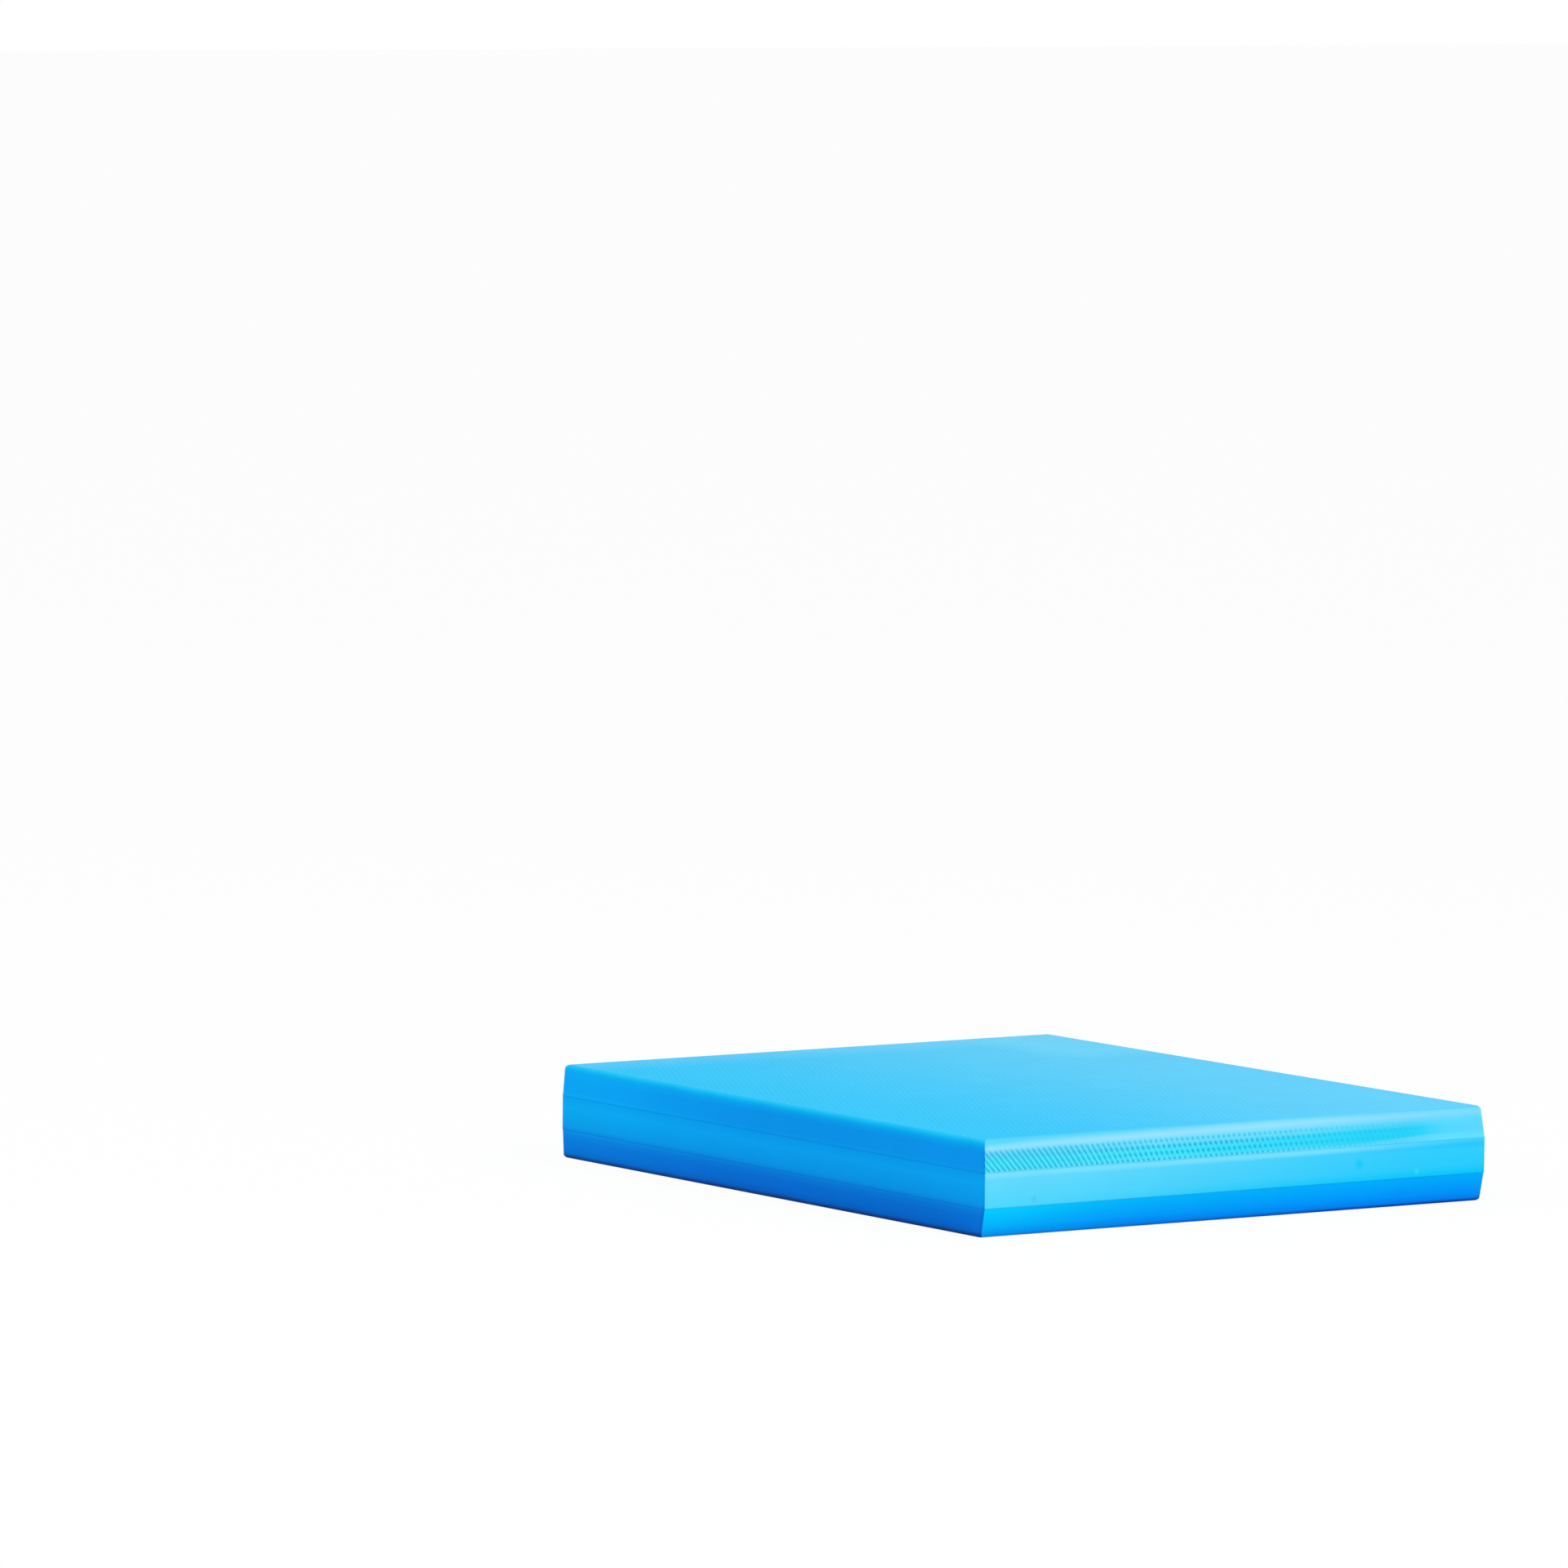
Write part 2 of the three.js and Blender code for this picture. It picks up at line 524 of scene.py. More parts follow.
@dataclass(frozen=True)
class SkinFinish:
    """Moulded closed-cell foam skin: its own blue, with painted light and painted sheen making the ends and
    the faces paler, and painted shade making the long sides deeper.

    Reaches run inwards from an edge, and pairs of lengths are where a tone starts and where it is full.
    """

    name: str = "moulded_skin"
    # Face tones: paler towards the back by painted sheen, paler along the back end by a painted reflection,
    # and paler in the back corner by painted light.
    face_near: Colour = (0.03, 0.595, 0.985)
    face_far: Colour = (0.13, 0.66, 0.985)
    face_back_near: Colour = (0.105, 0.63, 0.98)
    face_back_far: Colour = (0.18, 0.69, 0.99)
    face_back_reach: float = 60 * MM
    face_corner_light: Colour = (0.165, 0.7, 0.99)
    corner_x: tuple[float, float] = (-90 * MM, -150 * MM)
    corner_y: tuple[float, float] = (105 * MM, 150 * MM)
    # Tints over the ends: painted light on the foot by the near corner, painted sheen that fades under the
    # ridge and low on the wall towards the far corner, a painted contact shadow along the floor, and painted
    # sheen that weakens towards the back end.
    foot_corner_light_tint: Colour = (1, 1.22, 1)
    foot_corner_reach: float = 130 * MM
    end_far_sheen_fade_tint: Colour = (0.24, 0.88, 1)
    end_low_sheen_fade_tint: Colour = (0.1, 0.97, 1)
    end_low_reach: float = 7 * MM
    end_contact_shadow_tint: Colour = (1, 0.38, 0.5)
    end_contact_shadow: tuple[float, float] = (3 * MM, 1 * MM)
    under_ridge: tuple[float, float] = (1.5 * MM, 5 * MM)
    seam_blend: float = 0.1 * MM
    back_end_sheen_tint: Colour = (0.8, 0.95, 1.12)
    back_end_share: float = 0.25
    # Painted light on the long sides, growing towards the back.
    side_back_light_tint: Colour = (1, 1.3, 1.12)
    wall_back_light_tint: Colour = (1, 1.14, 1.04)
    back_tint_head: tuple[float, float] = (61 * MM, 55 * MM)
    # Painted shade in the pits.
    pit_shade_tint: Colour = (0.03, 0.57, 0.73)
    flecks: tuple[Fleck, ...] = (
        Fleck(place=(0.25, -0.1605, 0.0235), radius=3.6 * MM, tint=(0.75, 0.88, 0.97)),
        Fleck(place=(0.25, 0.0973, 0.0303), radius=5.4 * MM, tint=(0.22, 0.93, 0.98)),
        Fleck(place=(0.25, 0.1442, 0.0228), radius=3 * MM, tint=(2.5, 1.18, 1)),
    )
    roughness: float = 0.5
    roughness_spread: float = 0.15
    gloss: float = 0.01
    grain_size: float = 0.7 * MM
    grain_detail: float = 3
    grain_depth: float = 0.05 * MM
    cloud_size: float = 45 * MM
    cloud_strength: float = 0.08

    def _sides(self, tree: ShaderTree, sizes: "PadSizes") -> bpy.types.NodeSocket:
        """Colour the ends and the long sides, with their painted light and shade, each with its drift from
        one corner to the next.
        """
        on_long_side = tree.stored(Mark.LONG_SIDE)
        return tree.mix(on_long_side, self._ends(tree, sizes), self._long_sides(tree, sizes))

    def _ends(self, tree: ShaderTree, sizes: "PadSizes") -> bpy.types.NodeSocket:
        """Colour the ends, whose painted sheen fades from the near corner to the far one.

        Args:
            tree: the material's tree.
            sizes: the pad's sizes.

        Returns:
            The colour's socket.
        """
        half_width, seam = sizes.width / 2, sizes.lower_seam
        height = tree.along(Axis.Z)
        to_far = tree.along(Axis.Y).ramp(-half_width, half_width)
        to_near = tree.along(Axis.Y).ramp(self.foot_corner_reach - half_width, -half_width)
        below_ridge = height.ramp(*(sizes.upper_seam - depth for depth in self.under_ridge))
        in_foot = height.ramp(seam + self.seam_blend, seam - self.seam_blend)
        ends = END_STRIP.colour(tree, sizes, END_TONES.colour(tree, sizes))
        # Painted light on the near foot, fading painted sheen towards the far corner, a painted contact
        # shadow along the floor, weaker painted sheen at the back end, and the flecks.
        for share, tint in (
            (to_far * below_ridge, self.end_far_sheen_fade_tint),
            (to_far * height.ramp(seam + self.end_low_reach, seam), self.end_low_sheen_fade_tint),
            (to_near * in_foot, self.foot_corner_light_tint),
            (to_far * height.ramp(*self.end_contact_shadow), self.end_contact_shadow_tint),
            (tree.along(Axis.X).ramp(0, -sizes.length * self.back_end_share), self.back_end_sheen_tint),
            *((tree.near(fleck.place, fleck.radius), fleck.tint) for fleck in self.flecks),
        ):
            ends = tree.mix(share, ends, tint, Blend.TINT)
        return ends

    def _long_sides(self, tree: ShaderTree, sizes: "PadSizes") -> bpy.types.NodeSocket:
        """Colour the long sides, whose painted shade gives way to painted light towards the back, and least
        so in the wall.

        Args:
            tree: the material's tree.
            sizes: the pad's sizes.

        Returns:
            The colour's socket.
        """
        height, blend = tree.along(Axis.Z), self.seam_blend
        in_wall = height.ramp(sizes.lower_seam - blend, sizes.lower_seam + blend)
        in_wall = in_wall * height.ramp(sizes.upper_seam + blend, sizes.upper_seam - blend)
        # Painted light on the long sides towards the back.
        tint = tree.mix(in_wall, self.side_back_light_tint, self.wall_back_light_tint)
        to_back = tree.along(Axis.X).ramp(0, -sizes.length / 2) * height.ramp(*self.back_tint_head)
        return tree.mix(to_back, SIDE_TONES.colour(tree, sizes), tint, Blend.TINT)

    def material(self, sizes: "PadSizes") -> bpy.types.Material:
        """Make the finish.

        Args:
            sizes: the pad's sizes, by which the tone changes.

        Returns:
            The material.
        """
        material, tree, shader = new_material(self.name)
        # The face grows paler towards the back by painted sheen, along the back end by a painted reflection
        # and in the back corner by painted light.
        across = tree.along(Axis.Y).ramp(-sizes.width / 2, sizes.width / 2)
        at_back = tree.along(Axis.X).ramp(self.face_back_reach - sizes.length / 2, -sizes.length / 2)
        in_corner = tree.along(Axis.X).ramp(*self.corner_x) * tree.along(Axis.Y).ramp(*self.corner_y)
        face = tree.mix(across, self.face_near, self.face_far)
        face = tree.mix(in_corner, face, self.face_corner_light)
        back = tree.mix(across, self.face_back_near, self.face_back_far)
        face = tree.mix(at_back, face, back)
        tone = tree.mix(tree.stored(Mark.FLAT), self._sides(tree, sizes), face)
        clouds = tree.noise(self.cloud_size).centred() * self.cloud_strength
        # Painted shade darkens the pits.
        tone = tree.mix(tree.stored(Mark.PIT_SHADE), tone, self.pit_shade_tint, Blend.TINT)
        clouded = tree.node("ShaderNodeHueSaturation", inputs={"Value": clouds + 1, "Color": tone})
        grain = tree.noise(self.grain_size, self.grain_detail)
        tree.fill(shader, {
            "Base Color": clouded.outputs[0],
            "Roughness": grain.centred() * self.roughness_spread + self.roughness,
            "Specular IOR Level": self.gloss,
            "Normal": tree.bumps(grain, self.grain_depth),
        })
        return material


@dataclass(frozen=True)
class FoamFinish:
    """The cut faces of fine-celled foam."""

    name: str = "cut_foam"
    colour: Colour = (0.2, 0.66, 0.9)
    cell_shade_colour: Colour = (0.08, 0.5, 0.82)
    cell_size: float = 0.9 * MM
    cell_depth: float = 0.2 * MM
    cell_between: tuple[float, float] = (0.5, 0.1)
    roughness: float = 0.9

    def material(self) -> bpy.types.Material:
        """Make the finish, with its open cells as small hollows darkened by painted shade.

        Returns:
            The material.
        """
        material, tree, shader = new_material(self.name)
        inputs = {"Vector": tree.place(), "Scale": 1 / self.cell_size}
        cells = tree.node("ShaderNodeTexVoronoi", inputs=inputs)
        depth = Amount(tree, cells.outputs["Distance"])
        tree.fill(shader, {
            "Base Color": tree.mix(depth.ramp(*self.cell_between), self.colour, self.cell_shade_colour),
            "Normal": tree.bumps(depth, self.cell_depth),
            "Roughness": self.roughness,
        })
        return material


@dataclass(frozen=True)
class FilmFinish:
    """Thin hot-melt film, with the faint clouds of uneven melting."""

    name: str = "melt_film"
    colour: Colour = (0.72, 0.84, 0.9)
    cloud_colour: Colour = (0.55, 0.74, 0.86)
    cloud_size: float = 12 * MM
    cloud_detail: float = 4
    cloud_between: tuple[float, float] = (0.4, 0.7)
    roughness: float = 0.4
    roughness_spread: float = 0.3

    def material(self) -> bpy.types.Material:
        """Make the finish.

        Returns:
            The material.
        """
        material, tree, shader = new_material(self.name)
        clouds = tree.noise(self.cloud_size, self.cloud_detail)
        tree.fill(shader, {
            "Base Color": tree.mix(clouds.ramp(*self.cloud_between), self.colour, self.cloud_colour),
            "Roughness": clouds.centred() * self.roughness_spread + self.roughness,
        })
        return material


# Shape of the pad

Numbers = Union[float, np.ndarray]


@dataclass(frozen=True)
class PadSizes:
    """The pad's overall size and the levels of its seams, in metres."""

    length: float
    width: float
    thickness: float
    lower_seam: float
    upper_seam: float

    @classmethod
    def from_frame(cls) -> "PadSizes":
        """Read the sizes from the frame's boxes.

        Returns:
            The sizes, each seam halfway between the pieces that meet there.
        """
        low, high = CAD_BOUNDS
        seams = [
            (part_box(under)[1][2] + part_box(over)[0][2]) / 2
            for under, over in (("bottom_skin", "edge_band"), ("edge_band", "top_skin"))
        ]
        return cls(high[0] - low[0], high[1] - low[1], high[2], *seams)


@dataclass(frozen=True)
class SideShape:
    """How far one side of the pad is drawn in, level by level, in metres."""

    top_draw: float
    shoulder_draw: float
    bottom_draw: float
    wall_draw: float = 0.0
    step_draw: float = 0.35 * MM
    shoulder_height: float = 2.2 * MM
    top_radius: float = 3 * MM
    bottom_radius: float = 2.5 * MM

    def inset(self, level: float, sizes: PadSizes) -> float:
        """How far the side lies inside the pad's widest outline.

        Args:
            level: the height above the floor.
            sizes: the pad's sizes.

        Returns:
            The inset at that level.
        """
        if level >= sizes.upper_seam:
            return self._upper_inset(level, sizes)
        if level > sizes.lower_seam:
            return self.wall_draw
        return rounded_slope(
            level=sizes.lower_seam - level,
            height=sizes.lower_seam,
            start=self.wall_draw + self.step_draw,
            end=self.bottom_draw,
            radius=self.bottom_radius,
        )

    def _upper_inset(self, level: float, sizes: PadSizes) -> float:
        """The inset above the upper seam: a shoulder, then a slope with a round top.

        Args:
            level: the height above the floor.
            sizes: the pad's sizes.

        Returns:
            The inset at that level.
        """
        above = level - sizes.upper_seam
        if above < self.shoulder_height:
            return self.shoulder_draw * float(smooth_rise(0, self.shoulder_height, above))
        return rounded_slope(
            level=above - self.shoulder_height,
            height=sizes.thickness - sizes.upper_seam - self.shoulder_height,
            start=self.shoulder_draw,
            end=self.top_draw,
            radius=self.top_radius,
        )


def rounded_slope(level: float, height: float, start: float, end: float, radius: float) -> float:
    """The inset along a straight slope that ends in a rounded edge.

    Args:
        level: the distance from the slope's start, along the pad's height.
        height: that distance at the slope's end.
        start: the inset at the slope's start.
        end: the inset that the slope has at its end, before rounding.
        radius: the radius of the rounded edge.

    Returns:
        The inset at that level.
    """
    lean = math.atan2(end - start, height)
    from_centre = level - (height - radius)
    if from_centre <= radius * math.sin(lean):
        return start + level * math.tan(lean)
    touch = height - radius + radius * math.sin(lean)
    centre_inset = start + touch * math.tan(lean) + radius * math.cos(lean)
    return centre_inset - math.sqrt(max(radius**2 - from_centre**2, 0.0))


@dataclass(frozen=True)
class Ring:
    """A rectangle round the pad at one level, in metres."""

    low_x: float
    high_x: float
    half_y: float
    level: float

    def matrix(self) -> Matrix:
        """What carries the unit square onto this ring."""
        centre = Matrix.Translation(((self.low_x + self.high_x) / 2, 0, self.level))
        return centre @ Matrix.Diagonal((self.high_x - self.low_x, 2 * self.half_y, 1, 1))


@dataclass(frozen=True)
class PadForm:
    """The outer form that all the pieces share."""

    sizes: PadSizes
    front_end: SideShape = SideShape(
        top_draw=3.2 * MM,
        shoulder_draw=0.5 * MM,
        bottom_draw=4.8 * MM,
        wall_draw=0.2 * MM,
    )
    back_end: SideShape = SideShape(
        top_draw=0.5 * MM,
        shoulder_draw=0.15 * MM,
        bottom_draw=1.2 * MM,
        wall_draw=0.1 * MM,
        step_draw=0.1 * MM,
    )
    long_side: SideShape = SideShape(
        top_draw=1.6 * MM,
        shoulder_draw=0.25 * MM,
        bottom_draw=0.5 * MM,
        step_draw=0.2 * MM,
    )
    corner_radius: float = 1.5 * MM
    corner_columns: int = 6

    def lay_out(self, mesh: bmesh.types.BMesh, ring: Ring, columns: tuple[int, int]) -> None:
        """Lay an even unit sheet out on a ring, its outermost columns close enough to round a corner.

        Args:
            mesh: the sheet, or its rim alone, with its middle at the origin.
            ring: the ring that it goes to.
            columns: how many columns it has along X and along Y.
        """
        sides = (ring.high_x - ring.low_x, 2 * ring.half_y)
        for axis, (count, side) in enumerate(zip(columns, sides)):
            even, margin = self.corner_columns / count, self.corner_radius / side
            for vert in mesh.verts:
                from_edge = HALF_SQUARE - abs(vert.co[axis])
                if from_edge < even:
                    from_edge *= margin / even
                else:
                    inner = (from_edge - even) * (HALF_SQUARE - margin) / (HALF_SQUARE - even)
                    from_edge = margin + inner
                vert.co[axis] = math.copysign(HALF_SQUARE - from_edge, vert.co[axis])
        bmesh.ops.transform(mesh, matrix=ring.matrix(), verts=mesh.verts[:])

    def ring(self, level: float, wall: float = 0.0) -> Ring:
        """The pad's outline at a level.

        Args:
            level: the height above the floor.
            wall: how much further in the ring lies than the pad's outside.

        Returns:
            The outline as a ring.
        """
        half = self.sizes.length / 2
        return Ring(
            low_x=-half + self.back_end.inset(level, self.sizes) + wall,
            high_x=half - self.front_end.inset(level, self.sizes) - wall,
            half_y=self.sizes.width / 2 - self.long_side.inset(level, self.sizes) - wall,
            level=level,
        )

    def insets(self, levels: np.ndarray) -> tuple[np.ndarray, np.ndarray, np.ndarray]:
        """The outline at many levels.

        Args:
            levels: heights above the floor.

        Returns:
            The lowest x, the highest x and the half width at each level.
        """
        known, at = np.unique(np.round(levels, LEVEL_DIGITS), return_inverse=True)
        rings = [self.ring(float(level)) for level in known]
        outline = np.array([(ring.low_x, ring.high_x, ring.half_y) for ring in rings])
        return tuple(outline[at].T)

    def round_corners(self, points: np.ndarray) -> np.ndarray:
        """Round the four upright corners of points that lie on rings.

        Args:
            points: one row of x, y, z for each point.

        Returns:
            The points, with those in a corner's square drawn onto its quarter circles.
        """
        low_x, high_x, half_y = self.insets(points[:, 2])
        radius = self.corner_radius
        middle = (low_x + high_x) / 2
        corner = np.stack([(high_x - low_x) / 2 - radius, half_y - radius], 1)
        from_middle = np.stack([points[:, 0] - middle, points[:, 1]], 1)
        out = np.abs(from_middle) - corner
        inside = (out > 0).all(1)
        reach = np.maximum(np.linalg.norm(out, axis=1), TINY)
        drawn = out * (out.max(1) / reach)[:, None]
        moved = np.sign(from_middle) * (drawn + corner)
        moved[:, 0] += middle
        result = points.copy()
        result[inside, :2] = moved[inside]
        return result


@dataclass(frozen=True)
class Embossing:
    """The anti-slip rows of small slanted pits, pressed into a skin.

    The slant is how far the pits of one row are shifted from those of the next, in pitches. Near one
    corner of each end they are shifted further, and join into grooves. At the middle row, counted from
    the first, the pits stand at the same places whatever the slant. What is parted, worn or bare from or
    at a number is so from that share of an end's width onwards, or wholly so there.
    """

    pitch: float = 4.12 * MM
    row_spacing: float = 4.15 * MM
    first_row: float = 4.6 * MM
    middle_row: float = 4.2
    depth: float = 0.5 * MM
    groove_share: float = 0.92
    edge_margin: float = 2.2 * MM
    slope_margin: float = 5.7 * MM
    slope_fade: float = 3.6 * MM
    seam_margin: float = 0.3 * MM
    fade: float = 1.2 * MM
    slant: float = 0.47
    corner_slant: float = 0.86
    corner_reach: float = 0.36
    parting: float = 1.15
    parted_from: float = 0.04
    parted_at: float = 0.43
    worn_from: float = 0.45
    worn_at: float = 0.88
    worn_share: float = 0.88
    worn_level: float = 0.2
    bare_from: float = 0.83
    bare_at: float = 0.92
    pit_edge: tuple[float, float] = (-0.3, 0.7)
    # On the flat face the pits are shallower, and the painted shade in them is weaker.
    face_depth_share: float = 0.7
    face_shade_share: float = 0.45

    def pits(self, along: np.ndarray, across: np.ndarray, slant: Numbers, breaks: Numbers) -> np.ndarray:
        """How deep the pits are pressed in at each point.

        Args:
            along: the distance along the pad's end.
            across: the distance square to it, over the surface.
            slant: the shift from row to row, in pitches.
            breaks: how far the pits are parted from row to row, from 0 to 1.

        Returns:
            Shares of the full depth, from 0 to 1.
        """
        rows = across / self.row_spacing
        column = np.cos(math.tau * (along / self.pitch + slant * (rows + self.middle_row)))
        between_rows = (1 - np.cos(math.tau * rows)) / 2
        return smooth_rise(*self.pit_edge, column - breaks * self.parting * between_rows)

    def end_pits(self, along: np.ndarray, across: np.ndarray, from_corner: np.ndarray) -> np.ndarray:
        """How deep the pits are on an end: grooves at one corner, then pits, then a worn, even strip.

        Args:
            along: the distance along the pad's end.
            across: the distance square to it, over the surface.
            from_corner: the share of the end's width from the corner with the grooves.

        Returns:
            Shares of the full depth, from 0 to 1.
        """
        grooved = 1 - smooth_rise(0, self.corner_reach, from_corner)
        slant = self.slant + (self.corner_slant - self.slant) * grooved
        breaks = smooth_rise(self.parted_from, self.parted_at, from_corner)
        worn = smooth_rise(self.worn_from, self.worn_at, from_corner) * self.worn_share
        bare = smooth_rise(self.bare_from, self.bare_at, from_corner)
        depth_share = self.groove_share + (1 - self.groove_share) * breaks
        sharp = self.pits(along, across, slant, breaks) * depth_share
        pressed = sharp * (1 - worn) + worn * self.worn_level
        return pressed * (1 - bare)


def smooth_rise(low: float, high: float, value: Numbers) -> Numbers:
    """A smooth rise from 0 at low to 1 at high."""
    share = np.clip((value - low) / (high - low), 0, 1)
    return share * share * (3 - 2 * share)


# Mesh building


def boundary(mesh: bmesh.types.BMesh) -> list[bmesh.types.BMEdge]:
    """The open edges of a mesh."""
    return [edge for edge in mesh.edges if edge.is_boundary]


def extrude_ring(mesh: bmesh.types.BMesh, rim: list, old: Ring, new: Ring) -> list[bmesh.types.BMEdge]:
    """Grow a mesh's rim into the next ring.

    Args:
        mesh: the mesh being built.
        rim: its edges on the old ring.
        old: the ring that the rim lies on.
        new: the ring that it grows to.

    Returns:
        The edges on the new ring.
    """
    grown = bmesh.ops.extrude_edge_only(mesh, edges=rim)["geom"]
    verts = [item for item in grown if isinstance(item, bmesh.types.BMVert)]
    fresh = set(verts)
    bmesh.ops.transform(mesh, matrix=new.matrix() @ old.matrix().inverted(), verts=verts)
    edges = [item for item in grown if isinstance(item, bmesh.types.BMEdge)]
    return [edge for edge in edges if edge.verts[0] in fresh and edge.verts[1] in fresh]


def grow_rings(mesh: bmesh.types.BMesh, rim: list, rings: list[Ring]) -> list[bmesh.types.BMEdge]:
    """Grow a rim through a row of rings.

    Args:
        mesh: the mesh being built.
        rim: its edges on the first ring.
        rings: the rings, in the order in which the rim goes through them.

    Returns:
        The edges on the last ring.
    """
    for old, new in zip(rings, rings[1:]):
        rim = extrude_ring(mesh, rim, old, new)
    return rim


def finished(mesh: bmesh.types.BMesh, name: str) -> bpy.types.Object:
    """Turn a built mesh into a smooth object at the origin, with its faces pointing out.

    Args:
        mesh: the built mesh, which is freed.
        name: the object's name.

    Returns:
        The object.
    """
    bmesh.ops.recalc_face_normals(mesh, faces=mesh.faces)
    data = bpy.data.meshes.new(name)
    mesh.to_mesh(data)
    mesh.free()
    data.shade_smooth()
    piece = bpy.data.objects.new(name, data)
    bpy.context.scene.collection.objects.link(piece)
    return piece


def read_points(data: bpy.types.Mesh) -> np.ndarray:
    """The mesh's points, one row each."""
    flat = np.empty(len(data.vertices) * 3)
    data.vertices.foreach_get("co", flat)
    return flat.reshape(-1, 3)


def read_normals(data: bpy.types.Mesh) -> np.ndarray:
    """The mesh's normals at its points, one row each."""
    flat = np.empty(len(data.vertices) * 3)
    data.vertex_normals.foreach_get("vector", flat)
    return flat.reshape(-1, 3)


def write_points(data: bpy.types.Mesh, points: np.ndarray) -> None:
    """Move the mesh's points."""
    data.vertices.foreach_set("co", points.ravel())
    data.update()


def store(data: bpy.types.Mesh, mark: Mark, values: np.ndarray) -> None:
    """Keep one number for each point with the mesh."""
    layer = data.attributes.new(mark.value, "FLOAT", "POINT")
    layer.data.foreach_set("value", values.astype(np.float32))


# Pieces


@dataclass
class PadPiece:
    """What all the pieces that replace one of the frame's solids have in common."""

    form: PadForm
    name: str
    slot: str

    def build(self) -> bpy.types.Object:
        """Build the piece."""
        raise NotImplementedError

    def dress(self, piece: bpy.types.Object, finish: bpy.types.Material) -> None:
        """Give the piece its finish, its place on the pad and what it stands for.

        Args:
            piece: the piece as built.
            finish: its material.
        """
        piece.data.materials.append(finish)
        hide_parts(self.name)
        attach(piece, BODY)
        log.info("%s: %d faces", piece.name, len(piece.data.polygons))


@dataclass
class SkinPiece(PadPiece):
    """What the two skins and the edge band have in common."""

    wall: float
    clearance: float = 0.08 * MM
    lip_radius: float = 0.15 * MM
    lip_steps: int = 3
    side_tone_share: float = 0.9

    def lip(self, level: float, upward: int) -> list[Ring]:
        """The rings that round the outer edge of a skin's lip.

        Args:
            level: the height at which the lip ends.
            upward: 1 if the skin reaches the lip on its way up, -1 on its way down.

        Returns:
            The rings, from the outer face to the lip's flat end.
        """
        rings = []
        for step in range(self.lip_steps + 1):
            angle = QUARTER_TURN * step / self.lip_steps
            height = level - upward * self.lip_radius * (1 - math.sin(angle))
            rings.append(self.form.ring(height, self.lip_radius * (1 - math.cos(angle))))
        return rings

    def mark_sides(self, data: bpy.types.Mesh) -> None:
        """Store which points lie on the long sides.

        Most of the round of each upright corner on the near side has the tone of the long side, its painted
        shade.

        Args:
            data: the piece's mesh.
        """
        points = read_points(data)
        low_x, high_x, half_y = self.form.insets(points[:, 2])
        to_end = np.minimum(points[:, 0] - low_x, high_x - points[:, 0])
        to_side = half_y - np.abs(points[:, 1])
        in_round = self.form.corner_radius * self.side_tone_share
        reach = np.where(points[:, 1] < 0, np.maximum(to_end, in_round), to_end)
        store(data, Mark.LONG_SIDE, (to_side < reach).astype(float))


